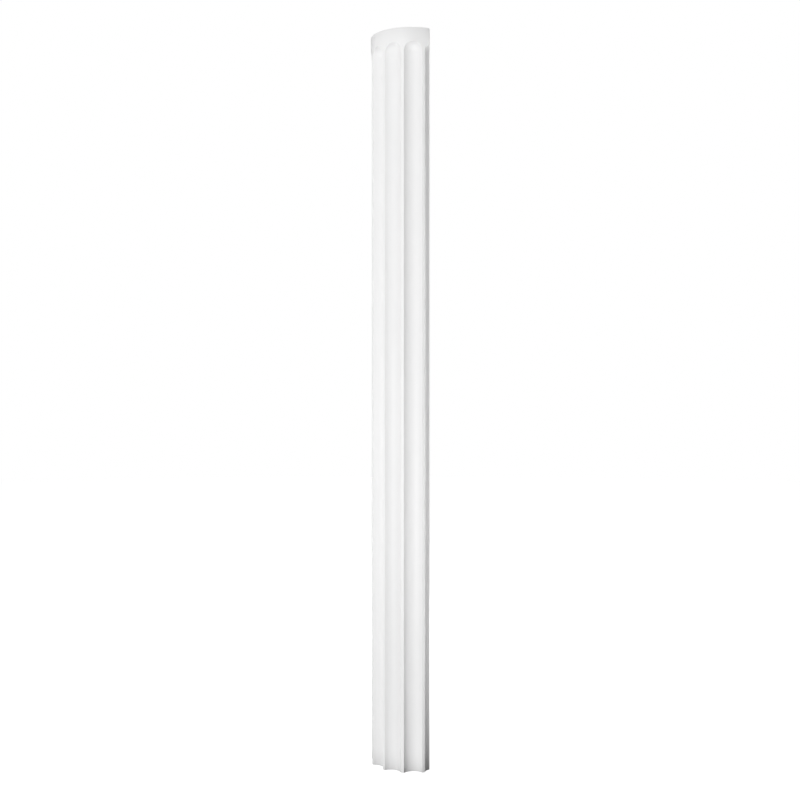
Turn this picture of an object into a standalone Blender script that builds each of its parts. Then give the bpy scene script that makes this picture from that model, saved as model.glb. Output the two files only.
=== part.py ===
"""Shaft of an engaged half column: a straight half-round moulding with flutes, flat behind and at both ends.

Metres, +Z up. The shaft stands on the XY plane, its fluted side towards -Y and its flat back towards +Y.
The flutes are set out round a full circle, and the back halves that circle through the middle of two flutes.
Each flute is the path of a ball-nosed cutter: round in section, with a ball-shaped head under the plain band
at the top, and open through the foot. The band's back corners draw in to the line of the two halved flutes, so
that the flat back is a plain rectangle from foot to top.
"""

import math

import bmesh
import bpy
from mathutils import Vector

# Driving dimensions
SHAFT_HEIGHT = 2.010
SHAFT_RADIUS = 0.110
FLUTES_PER_CIRCLE = 12  # a multiple of four, so that the back halves a flute on each side
FLUTE_DEPTH = 0.016  # from the shaft's circle to the deepest line of the flute
FILLET_WIDTH = 0.0085  # plain strip between two flutes, along the shaft's circle
PLAIN_BAND = 0.038  # from the top down to the highest point of each flute's head
CORNER_DEPTH = 0.012  # from the back to where the band's corners start to draw in
BACK_LAND = 0.0005  # how far the drawn-in corners stay outside the halved flutes' deepest lines

# Fineness of the curves
SHAFT_STEPS = 72  # flat strips round the half circle
CUTTER_SIDES = 64
HEAD_RINGS = 16  # rings from the head's pole down to its widest circle
SHARP_ANGLE = math.radians(25)

# How far each cutter runs on past the foot, the top and the back
OVERRUN = 0.010

# Finish
PRIMER_WHITE = (0.84, 0.84, 0.83, 1.0)
PRIMER_ROUGHNESS = 0.5


def clear_scene():
    """Remove every object that the file opened with."""
    for existing in list(bpy.data.objects):
        bpy.data.objects.remove(existing, do_unlink=True)


def add_object(name, data, parent=None):
    """Link a new object that holds the given data, or an empty for None."""
    added = bpy.data.objects.new(name, data)
    bpy.context.scene.collection.objects.link(added)
    added.parent = parent
    return added


def primer_material():
    """Satin white primer over the moulded foam."""
    material = bpy.data.materials.new("white_primer")
    material.use_nodes = True
    shader = material.node_tree.nodes["Principled BSDF"]
    shader.inputs["Base Color"].default_value = PRIMER_WHITE
    shader.inputs["Roughness"].default_value = PRIMER_ROUGHNESS
    shader.inputs["Metallic"].default_value = 0.0
    return material


def flute_pitch():
    """Angle from the middle of one flute to the middle of the next."""
    return math.tau / FLUTES_PER_CIRCLE


def flute_section():
    """Radius of the flute's round section, and the distance of its centre from the shaft's axis.

    The section's circle goes through the deepest point and through both edges, which lie on the shaft's circle.
    """
    half_opening = (flute_pitch() - FILLET_WIDTH / SHAFT_RADIUS) / 2
    half_chord = SHAFT_RADIUS * math.sin(half_opening)
    deepest = SHAFT_RADIUS - FLUTE_DEPTH
    rise = SHAFT_RADIUS * math.cos(half_opening) - deepest
    radius = (half_chord**2 + rise**2) / (2 * rise)
    return radius, deepest + radius


def head_height(radius):
    """Height of the ball's centre where a flute's cutter stops, for a cutter of the given radius."""
    rise = math.sqrt(2 * radius * FLUTE_DEPTH - FLUTE_DEPTH**2)
    return SHAFT_HEIGHT - PLAIN_BAND - rise


def prism_mesh(name, outline, bottom, top):
    """Closed upright prism over an outline of (x, y) corners."""
    bm = bmesh.new()
    end = bm.faces.new([bm.verts.new((x, y, bottom)) for x, y in outline])
    raised = bmesh.ops.extrude_face_region(bm, geom=[end])["geom"]
    top_verts = [item for item in raised if isinstance(item, bmesh.types.BMVert)]
    bmesh.ops.translate(bm, verts=top_verts, vec=(0.0, 0.0, top - bottom))
    bmesh.ops.recalc_face_normals(bm, faces=bm.faces)
    mesh = bpy.data.meshes.new(name)
    bm.to_mesh(mesh)
    bm.free()
    return mesh


def half_round_mesh():
    """Half cylinder on the XY plane, its axis on Z, its round side towards -Y."""
    angles = [math.pi * step / SHAFT_STEPS for step in range(SHAFT_STEPS + 1)]
    outline = [(-SHAFT_RADIUS * math.cos(angle), -SHAFT_RADIUS * math.sin(angle)) for angle in angles]
    return prism_mesh("half_column_shaft", outline, 0.0, SHAFT_HEIGHT)


def flute_cutter_mesh(radius):
    """Ball-nosed cutter on the Z axis, its nose up at the flute's head and its flat end below the foot."""
    ball_centre = head_height(radius)
    bm = bmesh.new()
    profile = []
    for ring in range(HEAD_RINGS + 1):
        angle = math.pi / 2 * ring / HEAD_RINGS
        profile.append(bm.verts.new((radius * math.sin(angle), 0.0, ball_centre + radius * math.cos(angle))))
    profile.append(bm.verts.new((radius, 0.0, -OVERRUN)))
    edges = [bm.edges.new(pair) for pair in zip(profile, profile[1:])]
    bmesh.ops.spin(
        bm, geom=profile + edges, axis=(0, 0, 1), cent=(0, 0, 0), angle=math.tau, steps=CUTTER_SIDES, use_merge=True
    )
    bmesh.ops.remove_doubles(bm, verts=bm.verts, dist=1e-6)
    flat_end = [edge for edge in bm.edges if edge.is_boundary]
    bmesh.ops.contextual_create(bm, geom=flat_end)
    bmesh.ops.recalc_face_normals(bm, faces=bm.faces)
    mesh = bpy.data.meshes.new("flute_cutter")
    bm.to_mesh(mesh)
    bm.free()
    return mesh


def add_cutter(name, mesh, axis):
    """Cutter on the axis, which the finished model leaves out."""
    cutter = add_object(name, mesh, axis)
    cutter.hide_render = True
    cutter.display_type = "WIRE"
    return cutter


def add_flute_cutters(axis):
    """One cutter for each flute that reaches the half circle, counted both ways from the middle of the front."""
    radius, from_axis = flute_section()
    mesh = flute_cutter_mesh(radius)
    outermost = math.ceil(math.pi / 2 / flute_pitch())
    cutters = []
    for index in range(-outermost, outermost + 1):
        angle = index * flute_pitch()
        cutter = add_cutter(f"flute_cutter_{index + outermost + 1}", mesh, axis)
        cutter.location = (from_axis * math.sin(angle), -from_axis * math.cos(angle), 0.0)
        # A flat side, not an edge, faces the axis, so that the back never runs along an edge of a halved flute.
        cutter.rotation_euler.z = angle - math.pi / 2 + math.pi / CUTTER_SIDES
        cutters.append(cutter)
    return cutters


def corner_wedge_mesh(side):
    """Upright wedge outside one drawn-in corner, on the +X side for a side of 1 and on the -X side for -1.

    Its slanted face goes through the shaft's circle at CORNER_DEPTH and through the back's straight edge, and its
    lower end is in the open space of the halved flute.
    """
    circle_point = Vector((math.sqrt(SHAFT_RADIUS**2 - CORNER_DEPTH**2), -CORNER_DEPTH))
    back_point = Vector((SHAFT_RADIUS - FLUTE_DEPTH + BACK_LAND, 0.0))
    slant = (circle_point - back_point).normalized()
    inner = back_point - OVERRUN * slant
    outer = circle_point + OVERRUN * slant
    outline = [(side * x, y) for x, y in (inner, outer, (outer.x, inner.y))]
    cutter_radius, _ = flute_section()
    return prism_mesh("corner_wedge", outline, head_height(cutter_radius) - OVERRUN, SHAFT_HEIGHT + OVERRUN)


def add_corner_wedges(axis):
    """One wedge for each back corner of the plain band."""
    sides = {"left_corner_wedge": -1, "right_corner_wedge": 1}
    return [add_cutter(name, corner_wedge_mesh(side), axis) for name, side in sides.items()]


def cut(solid, cutters):
    """Take the cutters out of the solid, keep the result as its mesh, and remove the cutters."""
    for cutter in cutters:
        taken_out = solid.modifiers.new(cutter.name, "BOOLEAN")
        taken_out.operation = "DIFFERENCE"
        taken_out.object = cutter
    graph = bpy.context.evaluated_depsgraph_get()
    uncut = solid.data
    solid.data = bpy.data.meshes.new_from_object(solid.evaluated_get(graph))
    solid.data.name = solid.name
    solid.modifiers.clear()
    bpy.data.meshes.remove(uncut)
    for cutter in cutters:
        bpy.data.objects.remove(cutter)


def build_shaft(axis):
    """The whole shaft, which is one moulding."""
    shaft = add_object("half_column_shaft", half_round_mesh(), axis)
    cut(shaft, add_flute_cutters(axis) + add_corner_wedges(axis))
    shaft.data.materials.clear()
    shaft.data.materials.append(primer_material())
    shaft.data.shade_smooth()
    shaft.data.set_sharp_from_angle(angle=SHARP_ANGLE)
    return shaft


def main():
    clear_scene()
    axis = add_object("column_axis", None)
    axis.location.y = SHAFT_RADIUS / 2
    build_shaft(axis)


if __name__ == "__main__":
    main()
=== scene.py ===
"""Looks of a fluted half column shaft: one white primed foam moulding in plain soft studio light.

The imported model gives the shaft's radius, axis and height. The shaft is modelled again here as one fine mesh
with rounded arrises. It is finished as the real one is: sprayed white primer on the moulded front, sawn foam
at both ends and a sanded foam back.
"""

from __future__ import annotations

import logging
import math
from collections import defaultdict
from collections.abc import Iterator
from contextlib import contextmanager
from dataclasses import dataclass, field
from enum import Enum

import bpy
import numpy as np
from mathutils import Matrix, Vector


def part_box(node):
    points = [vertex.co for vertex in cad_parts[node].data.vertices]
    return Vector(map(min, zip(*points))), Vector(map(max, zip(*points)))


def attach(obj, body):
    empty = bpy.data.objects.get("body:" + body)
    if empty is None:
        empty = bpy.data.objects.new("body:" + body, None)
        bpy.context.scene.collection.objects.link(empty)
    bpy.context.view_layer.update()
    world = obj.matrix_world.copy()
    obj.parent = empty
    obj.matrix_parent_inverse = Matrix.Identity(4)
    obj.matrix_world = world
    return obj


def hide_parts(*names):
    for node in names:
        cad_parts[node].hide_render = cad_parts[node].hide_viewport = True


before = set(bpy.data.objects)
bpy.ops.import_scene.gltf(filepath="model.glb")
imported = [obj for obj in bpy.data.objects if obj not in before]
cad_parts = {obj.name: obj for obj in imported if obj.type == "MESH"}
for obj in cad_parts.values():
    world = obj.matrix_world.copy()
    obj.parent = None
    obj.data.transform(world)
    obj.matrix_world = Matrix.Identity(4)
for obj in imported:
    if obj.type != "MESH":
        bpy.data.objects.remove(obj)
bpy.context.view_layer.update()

LOG = logging.getLogger("half_column")
MM = 0.001
TINY = 1e-6  # keeps a division clear of zero
SQUARE_TO = 0.99  # least part of a face's direction along an axis, for a face that is square to that axis
WHITE = "#FFFFFF"


def linear_rgba(hex_colour: str) -> tuple[float, float, float, float]:
    """Turn an sRGB hex colour into the linear colour that a shader reads, by the curve of the sRGB standard.

    Args:
        hex_colour: Six hex digits after a hash sign.

    Returns:
        Red, green and blue from 0 to 1, and an alpha of 1.
    """
    levels = [int(hex_colour[start : start + 2], 16) / 255 for start in (1, 3, 5)]
    red, green, blue = (
        level / 12.92 if level <= 0.04045 else ((level + 0.055) / 1.055) ** 2.4 for level in levels
    )
    return red, green, blue, 1.0


def new_material(name: str) -> tuple[bpy.types.Material, bpy.types.Node]:
    """Start a material.

    Args:
        name: The material's name.

    Returns:
        The material and its shader.
    """
    material = bpy.data.materials.new(name)
    material.use_nodes = True
    return material, material.node_tree.nodes["Principled BSDF"]


def add_node(
    tree: bpy.types.NodeTree, kind: str, inputs: dict[str | int, object] | None = None, **settings: object
) -> bpy.types.Node:
    """Add a node with its settings and its links.

    Args:
        tree: The tree that the node goes in.
        kind: The node's type name.
        inputs: Each socket's name or number, with its value or the output socket that feeds it.
        **settings: Properties of the node itself.

    Returns:
        The new node.
    """
    node = tree.nodes.new(kind)
    for name, value in settings.items():
        setattr(node, name, value)
    for socket, value in (inputs or {}).items():
        if isinstance(value, bpy.types.NodeSocket):
            tree.links.new(value, node.inputs[socket])
        else:
            node.inputs[socket].default_value = value
    return node


def add_noise(
    tree: bpy.types.NodeTree, place: bpy.types.NodeSocket, size_mm: float, detail: float
) -> bpy.types.NodeSocket:
    """Add soft noise.

    Args:
        tree: The tree that the noise goes in.
        place: The coordinates that it is laid out by.
        size_mm: About how wide its larger patches are.
        detail: How many finer layers it has.

    Returns:
        The noise's level, from 0 to 1.
    """
    settings = {"Vector": place, "Scale": 1 / (size_mm * MM), "Detail": detail}
    return add_node(tree, "ShaderNodeTexNoise", settings).outputs["Fac"]


def add_tone(
    tree: bpy.types.NodeTree, share: bpy.types.NodeSocket, first: str, second: str
) -> bpy.types.NodeSocket:
    """Mix two colours.

    Args:
        tree: The tree that the mix goes in.
        share: How much of the second colour there is, from 0 to 1.
        first: One hex colour.
        second: The other hex colour.

    Returns:
        The mixed colour.
    """
    colours = {"Factor": share, "A": linear_rgba(first), "B": linear_rgba(second)}
    return add_node(tree, "ShaderNodeMix", colours, data_type="RGBA").outputs["Result"]


def add_relief(
    tree: bpy.types.NodeTree,
    height: bpy.types.NodeSocket,
    depth_mm: float,
    under: bpy.types.NodeSocket | None = None,
) -> bpy.types.NodeSocket:
    """Add fine relief to a surface's shading.

    Args:
        tree: The tree that the relief goes in.
        height: The relief's level, from 0 to 1.
        depth_mm: How deep a level of 1 is.
        under: The shading direction of a relief that this one lies over, or None.

    Returns:
        The shading direction.
    """
    settings = {"Height": height, "Distance": depth_mm * MM, "Strength": 1.0}
    if under is not None:
        settings["Normal"] = under
    return add_node(tree, "ShaderNodeBump", settings).outputs["Normal"]


def smooth_min(first: np.ndarray | float, second: np.ndarray, blend: float) -> np.ndarray:
    """Take the lesser of two distances, rounded where they meet.

    Args:
        first: One surface's distances.
        second: The other surface's distances.
        blend: How far apart the two are where the rounding starts.

    Returns:
        The distances of the rounded surface.
    """
    share = np.clip(0.5 + (second - first) / (2 * blend), 0.0, 1.0)
    return share * first + (1 - share) * second - blend * share * (1 - share)


def select_only(piece: bpy.types.Object) -> None:
    """Make one piece the active one and the only one selected.

    Args:
        piece: The object to select.
    """
    bpy.ops.object.select_all(action="DESELECT")
    piece.select_set(True)
    bpy.context.view_layer.objects.active = piece


@contextmanager
def editing(piece: bpy.types.Object) -> Iterator[None]:
    """Edit one piece's mesh, with nothing else selected.

    Args:
        piece: The mesh object to edit.

    Yields:
        Nothing. Edit mode ends after the block.
    """
    select_only(piece)
    bpy.ops.object.mode_set(mode="EDIT")
    yield
    bpy.ops.object.mode_set(mode="OBJECT")


class Zone(Enum):
    """The three surfaces of the moulding, by the number of their material slot."""

    FRONT = 0
    END = 1
    BACK = 2

    @classmethod
    def facing(cls, normal: Vector) -> Zone:
        """Tell which surface a face is part of, from its direction.

        Args:
            normal: The face's direction.

        Returns:
            Its surface: the ends and the back are flat and square, and all else is the moulded front.
        """
        if abs(normal.z) > SQUARE_TO:
            return cls.END
        return cls.BACK if normal.y > SQUARE_TO else cls.FRONT


@dataclass(frozen=True)
class SprayedPrimer:
    """White water-based primer sprayed on moulded foam: an even satin white with a very fine orange peel."""

    colour: str = "#EBEBEB"
    clouded: str = "#E7E7E7"  # where the coat is thinnest
    roughness: float = 0.52
    roughness_swing: float = 0.05
    peel_mm: float = 2.2  # a real peel is nearer 0.8 mm, which is too fine to show
    peel_depth_mm: float = 0.03
    peel_detail: float = 2.0
    cloud_mm: float = 140.0
    cloud_detail: float = 3.0

    def material(self) -> bpy.types.Material:
        """Build the primer's material.

        Returns:
            The material.
        """
        material, shader = new_material("sprayed_white_primer")
        tree = material.node_tree
        place = add_node(tree, "ShaderNodeTexCoord").outputs["Object"]
        clouds = add_noise(tree, place, self.cloud_mm, self.cloud_detail)
        peel = add_noise(tree, place, self.peel_mm, self.peel_detail)
        swing = {
            "Value": clouds,
            "To Min": self.roughness - self.roughness_swing,
            "To Max": self.roughness + self.roughness_swing,
        }
        gloss = add_node(tree, "ShaderNodeMapRange", swing)
        tree.links.new(add_tone(tree, clouds, self.colour, self.clouded), shader.inputs["Base Color"])
        tree.links.new(gloss.outputs["Result"], shader.inputs["Roughness"])
        tree.links.new(add_relief(tree, peel, self.peel_depth_mm), shader.inputs["Normal"])
        return material


@dataclass(frozen=True)
class CutFoam:
    """Bare rigid foam, sawn or sanded: matt, a little warmer than the primer, with fine closed cells."""

    name: str
    colour: str
    shadow: str
    stroke_direction: tuple[float, float, float]  # 1 across the tool's marks, less along them
    cell_mm: float = 1.2  # real cells are nearer 0.3 mm, which is too fine to show
    cell_depth_mm: float = 0.08
    stroke_mm: float = 3.0
    stroke_depth_mm: float = 0.05
    stroke_detail: float = 3.0
    roughness: float = 0.85

    def material(self) -> bpy.types.Material:
        """Build the foam's material.

        Returns:
            The material.
        """
        material, shader = new_material(self.name)
        tree = material.node_tree
        shader.inputs["Roughness"].default_value = self.roughness
        place = add_node(tree, "ShaderNodeTexCoord").outputs["Object"]
        along = add_node(tree, "ShaderNodeMapping", {"Vector": place, "Scale": self.stroke_direction})
        cells = add_node(tree, "ShaderNodeTexVoronoi", {"Vector": place, "Scale": 1 / (self.cell_mm * MM)})
        strokes = add_noise(tree, along.outputs["Vector"], self.stroke_mm, self.stroke_detail)
        pitted = add_relief(tree, cells.outputs["Distance"], self.cell_depth_mm)
        scored = add_relief(tree, strokes, self.stroke_depth_mm, pitted)
        tree.links.new(add_tone(tree, strokes, self.colour, self.shadow), shader.inputs["Base Color"])
        tree.links.new(scored, shader.inputs["Normal"])
        return material


@dataclass
class FlutedShaft:
    """The whole moulding: a half-round shaft with flutes, a plain band at its top, and a flat back and ends.

    The flutes are set out round a full circle, and the back halves that circle through the middle of two of
    them. Each flute is the path of a ball-nosed cutter, round in section and in its head. The band's back
    corners draw in to the line of the two halved flutes, so that the back is a plain rectangle.
    """

    node: str = "half_column_shaft"
    flutes_per_circle: int = 12
    flute_depth: float = 16.0 * MM
    fillet_width: float = 8.5 * MM
    plain_band: float = 38.0 * MM
    corner_depth: float = 12.0 * MM  # from the back to where the band's corners start to draw in
    back_land: float = 0.5 * MM  # how far the drawn-in corners stay outside the halved flutes' deepest lines
    corner_blend: float = 0.6 * MM  # reach of a drawn-in corner's rounding, measured along the radius
    arris_blend: float = 0.8 * MM  # the same at the arris of a flute
    edge_round: float = 0.5 * MM  # rounding of the ends' and the back's edges
    edge_facets: int = 2
    wander: float = 0.12 * MM  # how far a moulded face strays from true
    wander_length: float = 0.31
    wander_waves: tuple[tuple[float, float, float], ...] = (  # rates along and round the shaft, and the start
        (1.0, 2.1, 0.0),
        (0.62, -3.3, 1.0),
        (1.7, 0.0, 0.4),
    )
    columns: int = 480  # facets round the half circle
    straight_rings: int = 40
    head_rings: int = 26
    head_climb: float = math.radians(74)  # how far up the ball the rings stay close together
    crease: float = math.radians(35)
    radius: float = field(init=False)
    height: float = field(init=False)
    axis: Vector = field(init=False)

    def __post_init__(self) -> None:
        """Take the radius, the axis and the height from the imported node, which is one radius deep."""
        low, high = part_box(self.node)
        self.radius = high.y - low.y
        self.axis = Vector(((low.x + high.x) / 2, high.y, low.z))
        self.height = high.z - low.z

    @property
    def pitch(self) -> float:
        """Angle from the middle of one flute to the middle of the next."""
        return math.tau / self.flutes_per_circle

    @property
    def cutter_radius(self) -> float:
        """Radius of the circle through a flute's two edges and its deepest point."""
        half_opening = (self.pitch - self.fillet_width / self.radius) / 2
        half_chord = self.radius * math.sin(half_opening)
        rise = self.radius * math.cos(half_opening) - (self.radius - self.flute_depth)
        return (half_chord**2 + rise**2) / (2 * rise)

    @property
    def cutter_path(self) -> float:
        """Distance of the cutter's centre from the shaft's axis."""
        return self.radius - self.flute_depth + self.cutter_radius

    @property
    def ball_height(self) -> float:
        """Height of the ball's centre where the cutter stops, with the head's top just under the band."""
        climb = math.sqrt(2 * self.cutter_radius * self.flute_depth - self.flute_depth**2)
        return self.height - self.plain_band - climb

    def ring_heights(self) -> list[float]:
        """List the heights of the mesh's rings above the foot.

        Returns:
            Even ones up the straight flutes, close ones over the heads, and the top.
        """
        rings = range(1, self.straight_rings + 1)
        straight = [self.ball_height * ring / self.straight_rings for ring in rings]
        climbs = [self.head_climb * ring / self.head_rings for ring in range(1, self.head_rings + 1)]
        heads = [self.ball_height + self.cutter_radius * math.sin(climb) for climb in climbs]
        return [*straight, *heads, self.height]

    def half_disc(self) -> bpy.types.Object:
        """Lay down the foot's half disc, its round side to the front.

        Returns:
            An object that holds one many-sided face.
        """
        bpy.ops.object.select_all(action="DESELECT")
        bpy.ops.mesh.primitive_circle_add(
            vertices=2 * self.columns, radius=self.radius, fill_type="NGON", location=self.axis
        )
        disc = bpy.context.object
        disc.name = disc.data.name = "fluted_half_column"
        bpy.ops.object.transform_apply(location=True, rotation=True, scale=True)
        with editing(disc):
            bpy.ops.mesh.select_all(action="SELECT")
            bpy.ops.mesh.bisect(plane_co=self.axis, plane_no=(0, 1, 0), clear_outer=True)
        return disc

    def raise_rings(self, shaft: bpy.types.Object) -> None:
        """Extrude the half disc to full height, one ring at a time.

        Args:
            shaft: The object that holds the half disc.
        """
        with editing(shaft):
            bpy.ops.mesh.select_all(action="SELECT")
            reached = 0.0
            for height in self.ring_heights():
                bpy.ops.mesh.extrude_region_move(TRANSFORM_OT_translate={"value": (0, 0, height - reached)})
                reached = height
            bpy.ops.mesh.select_all(action="SELECT")
            bpy.ops.mesh.normals_make_consistent(inside=False)

    def plain_radius(self, angle: np.ndarray) -> np.ndarray:
        """Find how far the shaft without its flutes reaches from the axis.

        Args:
            angle: Directions round the axis in radians, 0 at the middle of the front.

        Returns:
            The distances: the shaft's radius all round, and less at the drawn-in corners.
        """
        back_edge = self.radius - self.flute_depth + self.back_land
        drawn_in = math.sqrt(self.radius**2 - self.corner_depth**2) - back_edge
        lean = self.corner_depth * np.sin(np.abs(angle)) - drawn_in * np.cos(angle)
        slant = self.corner_depth * back_edge / np.maximum(lean, TINY)
        out_of_reach = 2 * self.radius
        return smooth_min(self.radius, np.where(lean > 0.0, slant, out_of_reach), self.corner_blend)

    def surface_radius(self, angle: np.ndarray, height: np.ndarray) -> np.ndarray:
        """Find how far the finished surface is from the shaft's axis.

        Args:
            angle: Directions round the axis in radians, 0 at the middle of the front.
            height: Heights above the foot in metres.

        Returns:
            The distances: the plain radius on fillets and band, less in the flutes, rounded where they meet.
        """
        off_middle = angle - self.pitch * np.round(angle / self.pitch)
        up_the_ball = np.clip(height - self.ball_height, 0.0, self.cutter_radius)
        reach = self.cutter_radius**2 - up_the_ball**2 - (self.cutter_path * np.sin(off_middle)) ** 2
        scooped = self.cutter_path * np.cos(off_middle) - np.sqrt(np.clip(reach, 0.0, None))
        out_of_reach = 2 * self.radius
        flute = np.where(reach > 0.0, scooped, out_of_reach)
        return smooth_min(self.plain_radius(angle), flute, self.arris_blend)

    def stray(self, angle: np.ndarray, height: np.ndarray) -> np.ndarray:
        """Find how far the moulded surface lies under its true form.

        Args:
            angle: Directions round the axis in radians.
            height: Heights above the foot in metres.

        Returns:
            Depths from 0 to the moulding's wander, in slow waves along and round the shaft.
        """
        turn = math.tau * height / self.wander_length
        waves = sum(
            np.sin(along * turn + around * angle + start) for along, around, start in self.wander_waves
        )
        return self.wander * (0.5 + waves / (2 * len(self.wander_waves)))

    def carve(self, shaft: bpy.types.Object) -> None:
        """Move each point in along its own radius, to cut the flutes.

        Args:
            shaft: The plain half-round shaft.
        """
        points = np.empty(len(shaft.data.vertices) * 3, np.float32)
        shaft.data.vertices.foreach_get("co", points)
        points = points.reshape(-1, 3).astype(float)
        across = points[:, 0] - self.axis.x
        out = self.axis.y - points[:, 1]
        height = points[:, 2] - self.axis.z
        angle = np.arctan2(across, out)
        radius = self.surface_radius(angle, height) - self.stray(angle, height)
        points[:, 0] = self.axis.x + radius * np.sin(angle)
        points[:, 1] = self.axis.y - radius * np.cos(angle)
        shaft.data.vertices.foreach_set("co", points.astype(np.float32).ravel())
        shaft.data.update()

    def ease_edges(self, shaft: bpy.types.Object) -> None:
        """Round the edges of the ends and the back, and shade the rest smooth.

        Args:
            shaft: The carved shaft.
        """
        zones_beside: dict[int, set[Zone]] = defaultdict(set)
        for face in shaft.data.polygons:
            for corner in face.loop_indices:
                zones_beside[shaft.data.loops[corner].edge_index].add(Zone.facing(face.normal))
        weights = shaft.data.attributes.new("bevel_weight_edge", "FLOAT", "EDGE")
        for edge, zones in zones_beside.items():
            weights.data[edge].value = float(len(zones) > 1)
        easing = shaft.modifiers.new("eased_edges", "BEVEL")
        easing.width = self.edge_round
        easing.segments = self.edge_facets
        easing.limit_method = "WEIGHT"
        select_only(shaft)
        bpy.ops.object.modifier_apply(modifier=easing.name)
        bpy.ops.object.shade_smooth_by_angle(angle=self.crease)

    def dress(self, shaft: bpy.types.Object) -> None:
        """Give the front, the ends and the back their own finishes.

        Args:
            shaft: The finished mesh.
        """
        finishes = {
            Zone.FRONT: SprayedPrimer(),
            Zone.END: CutFoam("sawn_foam_end", "#ECEAE4", "#E2DFD6", stroke_direction=(1.0, 0.08, 1.0)),
            Zone.BACK: CutFoam("sanded_foam_back", "#EAE8E1", "#E0DDD3", stroke_direction=(1.0, 1.0, 0.03)),
        }
        shaft.data.materials.clear()
        for zone in Zone:
            shaft.data.materials.append(finishes[zone].material())
        for face in shaft.data.polygons:
            face.material_index = Zone.facing(face.normal).value

    def build(self) -> bpy.types.Object:
        """Model and dress the shaft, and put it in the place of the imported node.

        Returns:
            The finished piece.
        """
        shaft = self.half_disc()
        self.raise_rings(shaft)
        self.carve(shaft)
        self.ease_edges(shaft)
        self.dress(shaft)
        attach(shaft, "root")
        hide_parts(self.node)
        return shaft


class Facing(Enum):
    """Which way a light shines."""

    LEVEL = "level, at the shaft's axis"
    UP = "straight up"


@dataclass(frozen=True)
class Softbox:
    """One large soft light near the shaft, which the camera doesn't see."""

    name: str
    azimuth: float  # degrees round the shaft, 0 in front of it and 90 to its right
    distance: float  # from the shaft's axis to the middle of the light
    height: float  # of its middle above the floor
    width: float
    length: float  # up a level light, or away from the shaft on one that shines up
    radiance: float
    facing: Facing = Facing.LEVEL
    highlight: bool = True  # whether the primer's gloss mirrors it

    def build(self, axis: Vector) -> bpy.types.Object:
        """Add the light.

        Args:
            axis: A point on the shaft's axis, which the azimuth turns round.

        Returns:
            The light's object.
        """
        turn = math.radians(self.azimuth)
        lamp = bpy.data.lights.new(self.name, "AREA")
        lamp.shape = "RECTANGLE"
        lamp.size = self.width
        lamp.size_y = self.length
        lamp.energy = self.radiance * math.pi * self.width * self.length
        light = bpy.data.objects.new(self.name, lamp)
        across, back = self.distance * math.sin(turn), -self.distance * math.cos(turn)
        light.location = (axis.x + across, axis.y + back, self.height)
        light.rotation_euler = (math.pi if self.facing is Facing.UP else math.pi / 2, 0.0, turn)
        light.visible_camera = False
        light.visible_glossy = self.highlight
        bpy.context.scene.collection.objects.link(light)
        return light


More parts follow.
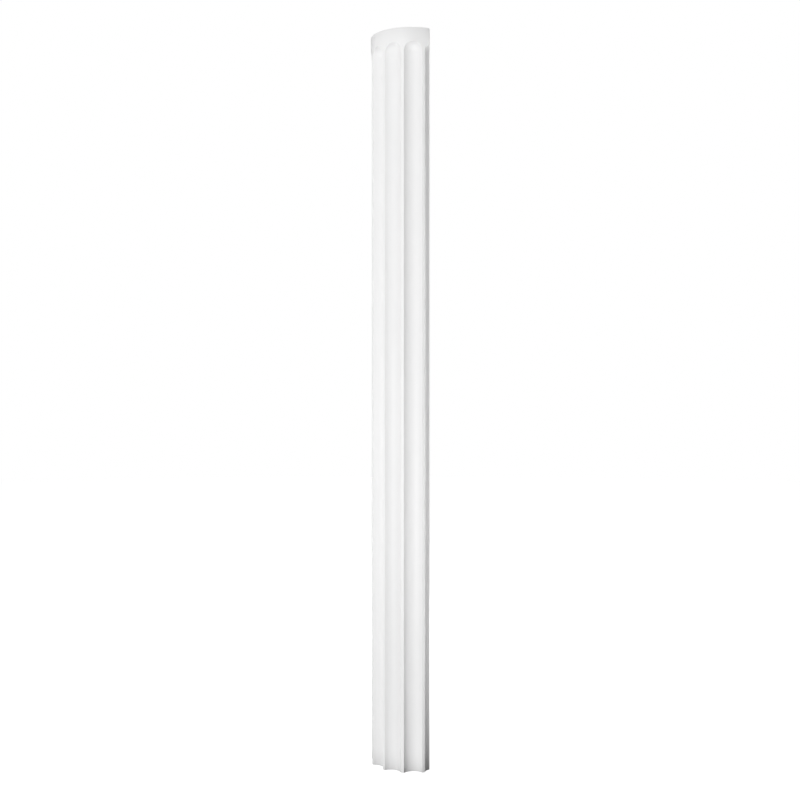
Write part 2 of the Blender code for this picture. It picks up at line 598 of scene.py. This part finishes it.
@dataclass
class Studio:
    """A plain white floor, with a pale painted shadow round the foot, and background under soft light.

    The camera alone sees the floor, which throws no light of its own. Softboxes that lie under it give the
    light that comes up off a floor. The large ones keep away from the foot, which is darker for that.
    """

    shaft: FlutedShaft
    floor_radius: float = 12.0
    floor_sides: int = 96
    floor_reflectance: float = 0.5  # of the lights, which it adds to its own glow
    painted_shadow_reach: float = 1.1  # from the foot's middle, past which the floor is plain white with no painted shadow
    painted_shadow_depth: float = 0.2  # how much less the floor glows at the foot: the depth of the painted shadow

    def softboxes(self) -> list[Softbox]:
        """List the lights, from the left of the camera round to the right and behind.

        Returns:
            Each light's name, azimuth, distance, height, width, length and radiance.
        """
        level_lights = [
            Softbox("left_top", -62.0, 1.5, 1.95, 0.9, 0.5, 4.2, highlight=False),
            Softbox("left_foot", -62.0, 1.5, 0.3, 0.9, 0.5, 4.5, highlight=False),
            Softbox("left_low", -40.0, 2.6, 0.5, 1.6, 0.9, 2.8),
            Softbox("left_high", -20.0, 2.6, 2.7, 1.4, 1.2, 2.6),
            Softbox("key_low", 25.0, 2.6, 0.5, 1.1, 0.9, 14.2),
            Softbox("key_high", 33.0, 2.6, 2.7, 1.5, 1.2, 5.7),
            Softbox("right_high", 92.0, 2.6, 2.7, 1.4, 1.2, 3.2),
            Softbox("right_edge", 140.0, 2.6, 2.7, 1.2, 1.2, 2.7),
            Softbox("back", 198.0, 2.6, 1.2, 1.2, 2.2, 4.2),
            Softbox("back_left", 210.0, 2.6, 1.2, 1.6, 2.0, 1.8),
        ]
        off_the_floor = [
            Softbox("floor_at_foot", 50.0, 0.24, -0.02, 0.3, 0.2, 0.6, Facing.UP),
            Softbox("floor_right_near", 103.0, 0.7, -0.02, 0.7, 0.7, 1.0, Facing.UP),
            Softbox("floor_right_far", 120.0, 1.5, -0.02, 2.2, 0.9, 4.4, Facing.UP),
        ]
        return level_lights + off_the_floor

    def build_floor(self) -> bpy.types.Object:
        """Lay a round white floor, which glows, and less so near the foot, as a pale painted shadow.

        Returns:
            The floor.
        """
        bpy.ops.object.select_all(action="DESELECT")
        bpy.ops.mesh.primitive_circle_add(
            vertices=self.floor_sides, radius=self.floor_radius, fill_type="NGON"
        )
        floor = bpy.context.object
        floor.name = floor.data.name = "studio_floor"
        floor.visible_diffuse = floor.visible_glossy = floor.visible_shadow = False
        material, shader = new_material("white_floor_with_painted_shadow")
        tree = material.node_tree
        shader.inputs["Base Color"].default_value = (*(self.floor_reflectance,) * 3, 1.0)
        shader.inputs["Roughness"].default_value = 1.0
        shader.inputs["Specular IOR Level"].default_value = 0.0
        shader.inputs["Emission Color"].default_value = linear_rgba(WHITE)
        place = add_node(tree, "ShaderNodeTexCoord").outputs["Object"]
        shrink = (1 / self.painted_shadow_reach,) * 3
        around_foot = add_node(tree, "ShaderNodeMapping", {"Vector": place, "Scale": shrink})
        nearness = add_node(
            tree,
            "ShaderNodeTexGradient",
            {"Vector": around_foot.outputs["Vector"]},
            gradient_type="QUADRATIC_SPHERE",
        )
        # The glow dims towards the foot: this is a painted shadow, not one cast by the lights.
        glow_with_painted_shadow = add_node(
            tree,
            "ShaderNodeMapRange",
            {"Value": nearness.outputs["Fac"], "To Min": 1.0, "To Max": 1 - self.painted_shadow_depth},
        )
        tree.links.new(glow_with_painted_shadow.outputs["Result"], shader.inputs["Emission Strength"])
        floor.data.materials.append(material)
        return floor

    def build_world(self) -> None:
        """Put white behind everything, for the camera alone."""
        world = bpy.data.worlds.new("studio")
        world.use_nodes = True
        tree = world.node_tree
        tree.nodes.clear()
        seen = add_node(tree, "ShaderNodeLightPath").outputs["Is Camera Ray"]
        backdrop = add_node(tree, "ShaderNodeBackground", {"Color": linear_rgba(WHITE), "Strength": seen})
        add_node(tree, "ShaderNodeOutputWorld", {"Surface": backdrop.outputs["Background"]})
        bpy.context.scene.world = world

    def build(self) -> None:
        """Set up the floor, the background and the lights."""
        self.build_floor()
        self.build_world()
        for softbox in self.softboxes():
            softbox.build(self.shaft.axis)
        bpy.context.scene.view_settings.view_transform = "Standard"


@dataclass(frozen=True)
class Viewpoint:
    """The camera: level, at half the shaft's height, off to the right of its front."""

    azimuth: float = 56.8  # degrees, 0 square in front of the shaft
    distance: float = 3.235  # from the shaft's axis
    seen_width: float = 2.230  # of the picture, at the shaft's axis
    left_of_axis: float = 0.029  # how far the camera stands to the left of the line to the shaft's axis
    sensor_mm: float = 36.0

    def build(self, shaft: FlutedShaft) -> bpy.types.Object:
        """Add the camera and make it the scene's own.

        Args:
            shaft: The shaft that it looks at.

        Returns:
            The camera's object.
        """
        turn = math.radians(self.azimuth)
        towards_camera = Vector((math.sin(turn), -math.cos(turn), 0.0))
        to_the_right = Vector((math.cos(turn), math.sin(turn), 0.0))
        lens = bpy.data.cameras.new("photo_view")
        lens.sensor_width = self.sensor_mm
        lens.lens = self.sensor_mm * self.distance / self.seen_width
        camera = bpy.data.objects.new("photo_view", lens)
        middle = shaft.axis + Vector((0.0, 0.0, shaft.height / 2))
        camera.location = middle + self.distance * towards_camera - self.left_of_axis * to_the_right
        camera.rotation_euler = (math.pi / 2, 0.0, turn)
        bpy.context.scene.collection.objects.link(camera)
        bpy.context.scene.camera = camera
        return camera


def main() -> None:
    """Build the shaft, the studio and the camera in turn."""
    logging.basicConfig(level=logging.INFO, format="%(message)s")
    shaft = FlutedShaft()
    piece = shaft.build()
    LOG.info("%s: %d faces", piece.name, len(piece.data.polygons))
    Studio(shaft).build()
    camera = Viewpoint().build(shaft)
    LOG.info("%s: lens %.1f mm", camera.name, camera.data.lens)


if __name__ == "__main__":
    main()
